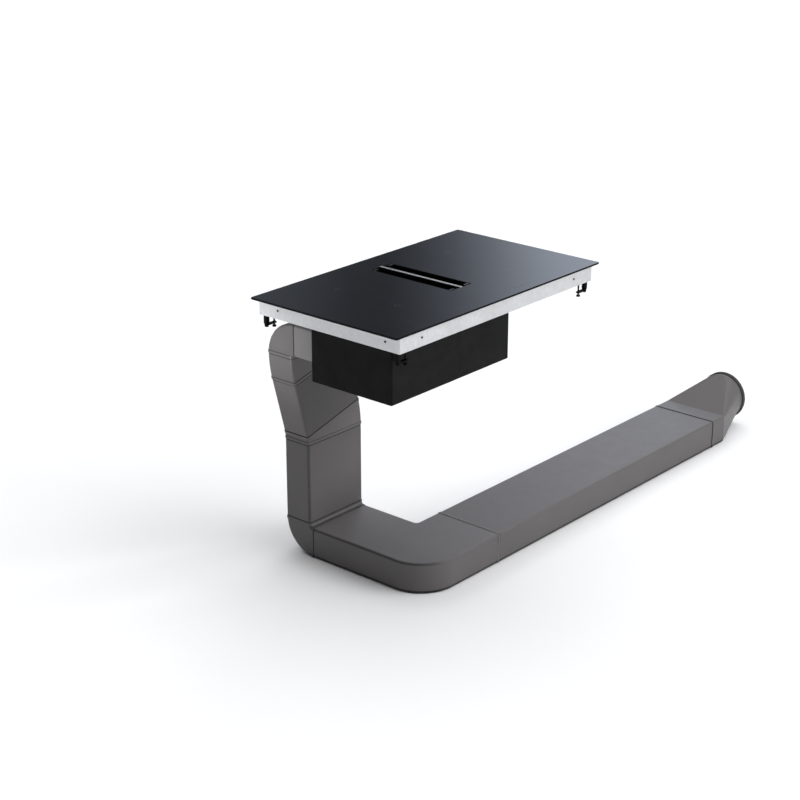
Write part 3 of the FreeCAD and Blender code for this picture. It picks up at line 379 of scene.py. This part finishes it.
DUCT = (0.107, 0.100, 0.100)
CORNER = [Vector(c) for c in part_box("duct_corner_bend")]
MATS = {
    "hob_glass": hob_glass(),
    "seal_foam": rubber("seal_foam", (0.022, 0.022, 0.022)),
    "sheet_metal": sheet_metal(),
    "dark_screw": metal("dark_screw", (0.07, 0.07, 0.07), (0.35, 0.5), (300, 300, 300), 0.9),
    "clamp_metal": plastic("clamp_metal", (0.0024, 0.0024, 0.0025), 0.10, (0.50, 0.64), 0.25, 0.9, 0.06),
    "bar_metal": metal("bar_metal", (0.46, 0.46, 0.465), (0.24, 0.36), (900, 12, 900), 1.0, 0.5, 0.10, 0.05),
    "vent_black": plastic("vent_black", (0.0030, 0.0030, 0.0032), 0.10, (0.54, 0.68), 0.25, 0.8, 0.05),
    "filter_metal": metal("filter_metal", (0.46, 0.47, 0.48), (0.34, 0.48), (60, 500, 60)),
    "box_black": plastic("box_black", (0.0058, 0.0058, 0.0060), 0.10, (0.50, 0.62), 0.28, 1.0, 0.08),
    # duct_grey carries a painted contact shadow at its foot; the duct copies below add painted shade and painted light
    "duct_grey": plastic("duct_grey", DUCT, 0.03, (0.36, 0.42), 0.06, 0.9, 0.32, foot=FLOOR_Z),
    "duct_corner": plastic("duct_corner", DUCT, 0.03, (0.36, 0.42), 0.06, 0.9, 0.32, foot=FLOOR_Z,
                           brow=(CORNER[1].z, CORNER[0].x + 0.02, CORNER[0].x + 0.16), step=CORNER[1].x - 0.03,
                           lift=top_face),
    "duct_riser": plastic("duct_riser", DUCT, 0.03, (0.36, 0.42), 0.06, 0.9, 0.32,
                          shade=front_edge(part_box("duct_riser")[0])),
    "duct_lean": plastic("duct_lean", DUCT, 0.03, (0.36, 0.42), 0.06, 0.9, 0.32, shade=front_face(0.44, 0.12)),
    "duct_turn": plastic("duct_turn", DUCT, 0.03, (0.36, 0.42), 0.06, 0.9, 0.32, lift=front_face(0.0, 0.75)),
    "duct_foot": plastic("duct_foot", DUCT, 0.03, (0.36, 0.42), 0.06, 0.9, 0.32, foot=FLOOR_Z, shade=inner_curve),
    "duct_light": plastic("duct_light", (0.150, 0.145, 0.146), 0.03, (0.36, 0.42), 0.06, 0.9, 0.32),
    "seal_dark": rubber("seal_dark", (0.020, 0.019, 0.019), (0.066, 0.062, 0.062), (CORNER[1].x, tint(DUCT, 0.9))),
    "ring_dark": rubber("ring_dark", (0.030, 0.028, 0.028)),
    "fan_black": plastic("fan_black", (0.018, 0.018, 0.018), 0.10, (0.35, 0.5), 0.2, 0.9),
    "motor_paint": plastic("motor_paint", (0.075, 0.075, 0.080), 0.06, (0.3, 0.42), 0.12, 1.2),
    "coil_copper": coil_copper(),
    "ferrite": ferrite(),
    "carrier_alu": metal("carrier_alu", (0.60, 0.60, 0.605), (0.32, 0.46), (20, 420, 420)),
    "board": board(),
    "mica": mica(),
    "terminal": plastic("terminal", (0.58, 0.58, 0.55), 0.04, (0.4, 0.52), 0.12, 1.0),
}
# these nodes take the copies of the duct grey with painted shade and painted light
OWN = {"duct_corner_bend": "duct_corner", "duct_riser": "duct_riser", "duct_bend_bottom": "duct_foot",
       "duct_offset_straight": "duct_lean", "duct_offset_lower": "duct_turn"}
for sub in frame["record"]["subparts"]:
    obj = nodes[sub["node"]]
    obj.data.materials.clear()
    obj.data.materials.append(MATS[OWN.get(sub["node"], sub["material_slot"])])


# ---------------------------------------------------------------------------
# Added pieces
# ---------------------------------------------------------------------------
def mesh_piece(name, bm, mat, body, bevel=0.0, segments=2):
    bmesh.ops.remove_doubles(bm, verts=bm.verts, dist=1e-7)
    bmesh.ops.recalc_face_normals(bm, faces=bm.faces)
    me = bpy.data.meshes.new(name)
    bm.to_mesh(me)
    bm.free()
    ob = bpy.data.objects.new(name, me)
    scene.collection.objects.link(ob)
    me.materials.append(mat)
    if bevel > 0:
        mod = ob.modifiers.new("edge", "BEVEL")
        mod.width = bevel
        mod.segments = segments
        mod.limit_method = "ANGLE"
        mod.angle_limit = math.radians(40)
    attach(ob, body)
    return ob


def prism(bm, pts, z0, z1):
    """Closed upright prism over a 2-D outline."""
    n = len(pts)
    lo = [bm.verts.new((x, y, z0)) for x, y in pts]
    hi = [bm.verts.new((x, y, z1)) for x, y in pts]
    bm.faces.new(lo[::-1])
    bm.faces.new(hi)
    for i in range(n):
        j = (i + 1) % n
        bm.faces.new((lo[i], lo[j], hi[j], hi[i]))


def band(bm, cx, cy, ro, ri, z0, z1, a0=0.0, a1=360.0, n=48):
    """Closed ring, or a part of one, with square section."""
    full = abs(a1 - a0 - 360.0) < 1e-6
    k = n if full else n + 1
    rows = []
    for i in range(k):
        a = math.radians(a0 + (a1 - a0) * i / n)
        c, s = math.cos(a), math.sin(a)
        rows.append([bm.verts.new((cx + r * c, cy + r * s, z)) for r, z in ((ri, z0), (ro, z0), (ro, z1), (ri, z1))])
    m = k if full else k - 1
    for i in range(m):
        p, q = rows[i], rows[(i + 1) % k]
        for j in range(4):
            bm.faces.new((p[j], p[(j + 1) % 4], q[(j + 1) % 4], q[j]))
    if not full:
        bm.faces.new(rows[0][::-1])
        bm.faces.new(rows[-1])


def rect(cx, cy, w, h):
    return [(cx - w / 2, cy - h / 2), (cx + w / 2, cy - h / 2), (cx + w / 2, cy + h / 2), (cx - w / 2, cy + h / 2)]


def ink():
    m = Mat("glass_print", Specular_IOR_Level=0.4)
    worn = m.noise(240.0, 4.0, 0.6)
    m.color(m.ramp(worn, (0.3, (0.016, 0.017, 0.019)), (0.7, (0.026, 0.028, 0.030))))
    m.rough(m.span(m.noise(90.0, 3.0, 0.5), 0.32, 0.45))
    m.bump(worn, 0.1, 0.0001)
    return m.mat


INK = ink()
GLASS_TOP = 0.0060
PZ0, PZ1 = GLASS_TOP - 0.0003, GLASS_TOP + 0.00003
# thin printed cross of each cooking zone
bm = bmesh.new()
for cx in (-0.235, 0.235):
    for cy in (-0.085, 0.130):
        prism(bm, rect(cx - 0.0065, cy, 0.0100, 0.0009), PZ0, PZ1)
        prism(bm, rect(cx + 0.0065, cy, 0.0100, 0.0009), PZ0, PZ1)
        prism(bm, rect(cx, cy - 0.0065, 0.0009, 0.0100), PZ0, PZ1)
        prism(bm, rect(cx, cy + 0.0065, 0.0009, 0.0100), PZ0, PZ1)
mesh_piece("zone_marks", bm, INK, "cooktop")

# touch field: slider strip of fine ticks between plain ring keys
bm = bmesh.new()
for i in range(21):
    x = -0.050 + i * 0.005
    prism(bm, rect(x, -0.2245, 0.0009, 0.0060 + 0.0022 * (i % 5 == 0)), PZ0, PZ1)
for x in (-0.150, -0.122, -0.094, 0.094, 0.122, 0.150):
    band(bm, x, -0.2245, 0.0062, 0.0055, PZ0, PZ1)
for x in (-0.122, -0.094, 0.094, 0.122):
    prism(bm, rect(x, -0.2245, 0.0040, 0.0008), PZ0, PZ1)
for x in (-0.094, 0.094):
    prism(bm, rect(x, -0.2245 + 0.0012, 0.0008, 0.0016), PZ0, PZ1)
    prism(bm, rect(x, -0.2245 - 0.0012, 0.0008, 0.0016), PZ0, PZ1)
mesh_piece("touch_marks", bm, INK, "cooktop")

# small gloss-black brackets at the outer ends of the louvers, flush with the glass
bm = bmesh.new()
for s in (-1, 1):
    for y in (-0.1020, 0.1730):
        x0, x1 = sorted((s * 0.0235, s * 0.0416))
        prism(bm, rect((x0 + x1) / 2, y, x1 - x0, 0.0060), -0.0130, 0.0058)
gloss = plastic("gloss_black", (0.0062, 0.0066, 0.0078), 0.08, (0.10, 0.16), 0.02, 1.2)
mesh_piece("louver_brackets", bm, gloss, "vent_cassette", 0.0005)

# rubber bush in the cable gland
bm = bmesh.new()
n = 40
prof = [(0.0058, -0.0655), (0.0064, -0.0662), (0.0064, -0.0420), (0.0058, -0.0428), (0.0052, -0.0450), (0.0052, -0.0632)]
rows = []
for i in range(n):
    a = 2 * math.pi * i / n
    rows.append([bm.verts.new((0.330 + r * math.cos(a), 0.180 + r * math.sin(a), z)) for r, z in prof])
for i in range(n):
    p, q = rows[i], rows[(i + 1) % n]
    for j in range(len(prof)):
        k = (j + 1) % len(prof)
        bm.faces.new((p[j], p[k], q[k], q[j]))
mesh_piece("gland_bush", bm, MATS["seal_foam"], "cooktop")


# ---------------------------------------------------------------------------
# Floor, light, camera
# ---------------------------------------------------------------------------
bm = bmesh.new()
bmesh.ops.create_grid(bm, x_segments=8, y_segments=8, size=60.0)
me = bpy.data.meshes.new("studio_floor")
bm.to_mesh(me)
bm.free()
floor = bpy.data.objects.new("studio_floor", me)
floor.location = (0, 0, FLOOR_Z - 0.0003)
scene.collection.objects.link(floor)
fm = Mat("studio_floor", Specular_IOR_Level=0.2)
fm.color(fm.ramp(fm.noise(0.6, 2.0, 0.5), (0.3, (0.885, 0.885, 0.890)), (0.7, (0.905, 0.905, 0.908))))
fm.rough(fm.span(fm.noise(2.0, 2.0, 0.5), 0.65, 0.75))
me.materials.append(fm.mat)

world = bpy.data.worlds.new("studio")
scene.world = world
world.use_nodes = True
wn = world.node_tree
bg = next(n for n in wn.nodes if n.type == "BACKGROUND")
w_out = next(n for n in wn.nodes if n.type == "OUTPUT_WORLD")
wc = wn.nodes.new("ShaderNodeTexCoord")
PEAK = 1.6


def wdot(v):
    n = wn.nodes.new("ShaderNodeVectorMath")
    n.operation = "DOT_PRODUCT"
    wn.links.new(wc.outputs["Generated"], n.inputs[0])
    n.inputs[1].default_value = v
    return n.outputs["Value"]


def wstep(sock, a, b, kind="SMOOTHSTEP"):
    n = wn.nodes.new("ShaderNodeMapRange")
    n.interpolation_type = kind
    n.inputs["From Min"].default_value = a
    n.inputs["From Max"].default_value = b
    wn.links.new(sock, n.inputs["Value"])
    return n.outputs["Result"]


def wmul(*socks):
    out = socks[0]
    for k in socks[1:]:
        n = wn.nodes.new("ShaderNodeMath")
        n.operation = "MULTIPLY"
        wn.links.new(out, n.inputs[0])
        wn.links.new(k, n.inputs[1])
        out = n.outputs[0]
    return out


# soft panel low behind the object: dark to the left, brightening to the right
YAW = math.radians(40.0)
side = wdot((-math.sin(YAW), math.cos(YAW), 0.0))
ahead = wdot((math.cos(YAW), math.sin(YAW), 0.0))
height = wdot((0.0, 0.0, 1.0))
inside = wmul(wstep(side, -0.60, -0.32), wstep(side, 0.42, 0.20), wstep(ahead, 0.45, 0.75), wstep(height, 0.68, 0.46))
ramp = wn.nodes.new("ShaderNodeValToRGB")
LEVELS = [(0.0, 0.32), (0.30, 0.215), (0.44, 0.115), (0.52, 0.108), (0.59, 0.185), (0.65, 0.30), (0.72, 0.53),
          (0.80, 0.90), (0.88, 1.28), (1.0, 1.52)]
els = ramp.color_ramp.elements
while len(els) < len(LEVELS):
    els.new(0.5)
for e, (t, v) in zip(els, LEVELS):
    e.position = t
    e.color = (0.89 * v / PEAK, 0.975 * v / PEAK, 1.14 * v / PEAK, 1.0)
wn.links.new(wstep(side, 0.15, -0.10, "LINEAR"), ramp.inputs["Fac"])
wmix = wn.nodes.new("ShaderNodeMix")
wmix.data_type = "RGBA"
ws = {k.identifier: k for k in wmix.inputs}
wn.links.new(inside, ws["Factor_Float"])
# ambient light: dim on the left, brighter to the front and the right
amb = wn.nodes.new("ShaderNodeValToRGB")
AMBIENT = [(0.0, 0.08), (0.35, 0.15), (0.62, 0.36), (1.0, 0.50)]
els = amb.color_ramp.elements
while len(els) < len(AMBIENT):
    els.new(0.5)
for e, (t, v) in zip(els, AMBIENT):
    e.position = t
    e.color = (0.97 * v / PEAK, v / PEAK, 1.05 * v / PEAK, 1.0)
wn.links.new(wstep(wdot((0.80, -0.60, 0.0)), -1.0, 1.0, "LINEAR"), amb.inputs["Fac"])
wn.links.new(amb.outputs["Color"], ws["A_Color"])
wn.links.new(ramp.outputs["Color"], ws["B_Color"])
wn.links.new(next(k for k in wmix.outputs if k.identifier == "Result_Color"), bg.inputs["Color"])
bg.inputs["Strength"].default_value = PEAK
# pale backdrop past the floor's edge
plain = wn.nodes.new("ShaderNodeBackground")
plain.inputs["Color"].default_value = (1.0, 1.0, 1.0, 1)
path = wn.nodes.new("ShaderNodeLightPath")
both = wn.nodes.new("ShaderNodeMixShader")
wn.links.new(path.outputs["Is Camera Ray"], both.inputs["Fac"])
wn.links.new(bg.outputs["Background"], both.inputs[1])
wn.links.new(plain.outputs["Background"], both.inputs[2])
wn.links.new(both.outputs["Shader"], w_out.inputs["Surface"])


def aim(o, loc, at):
    scene.collection.objects.link(o)
    o.location = loc
    o.rotation_mode = "QUATERNION"
    o.rotation_quaternion = (Vector(at) - Vector(loc)).to_track_quat("-Z", "Y")
    return o


# the polished glass takes its reflections from the surrounding panels only, not from the two wide lights
matt_only = bpy.data.collections.new("matt_only")
for sub in frame["record"]["subparts"]:
    if sub["material_slot"] == "hob_glass":
        matt_only.objects.link(nodes[sub["node"]])
for link in matt_only.collection_objects:
    link.light_linking.link_state = "EXCLUDE"
sky = bpy.data.lights.new("overhead", "SUN")
sky.energy = 1.95
sky.angle = math.radians(75)
sky.color = (1.0, 0.995, 0.985)
over = aim(bpy.data.objects.new("overhead", sky), (0.9, 0.8, 4.0), (0.0, 0.0, 0.0))
over.light_linking.receiver_collection = matt_only
front = bpy.data.lights.new("front", "SUN")
front.energy = 1.75
front.angle = math.radians(50)
fore = aim(bpy.data.objects.new("front", front), (2.0, -3.8, 2.9), (0.0, 0.0, 0.0))
fore.light_linking.receiver_collection = matt_only


def snoot(name, loc, at, power, cone):
    """Narrow soft light whose beam fades to its edge."""
    d = bpy.data.lights.new(name, "SPOT")
    d.energy = power
    d.spot_size = math.radians(cone)
    d.spot_blend = 1.0
    d.shadow_soft_size = 0.12
    return aim(bpy.data.objects.new(name, d), loc, at)


# on the upper bend from the left
snoot("snoot_left", (-1.25, 0.46, -0.46), (-0.32, 0.30, -0.15), 40.0, 24)
# on the front of the riser from the right, over the floor run
snoot("snoot_right", (1.05, -0.20, -0.34), (0.00, 0.229, -0.56), 90.0, 13)

cam_data = bpy.data.cameras.new("camera")
cam = bpy.data.objects.new("camera", cam_data)
scene.collection.objects.link(cam)
cam_data.sensor_width = 36.0
cam_data.sensor_fit = "HORIZONTAL"
cam_data.lens = 1868.6 * 36.0 / 800.0
cam_data.clip_start, cam_data.clip_end = 0.05, 200.0
yaw, pitch = math.radians(40.84), math.radians(21.02)
fwd = Vector((math.cos(yaw) * math.cos(pitch), math.sin(yaw) * math.cos(pitch), -math.sin(pitch)))
cam.location = (-3.7866, -3.1636, 1.5445)
cam.rotation_mode = "QUATERNION"
cam.rotation_quaternion = fwd.to_track_quat("-Z", "Y")
scene.camera = cam
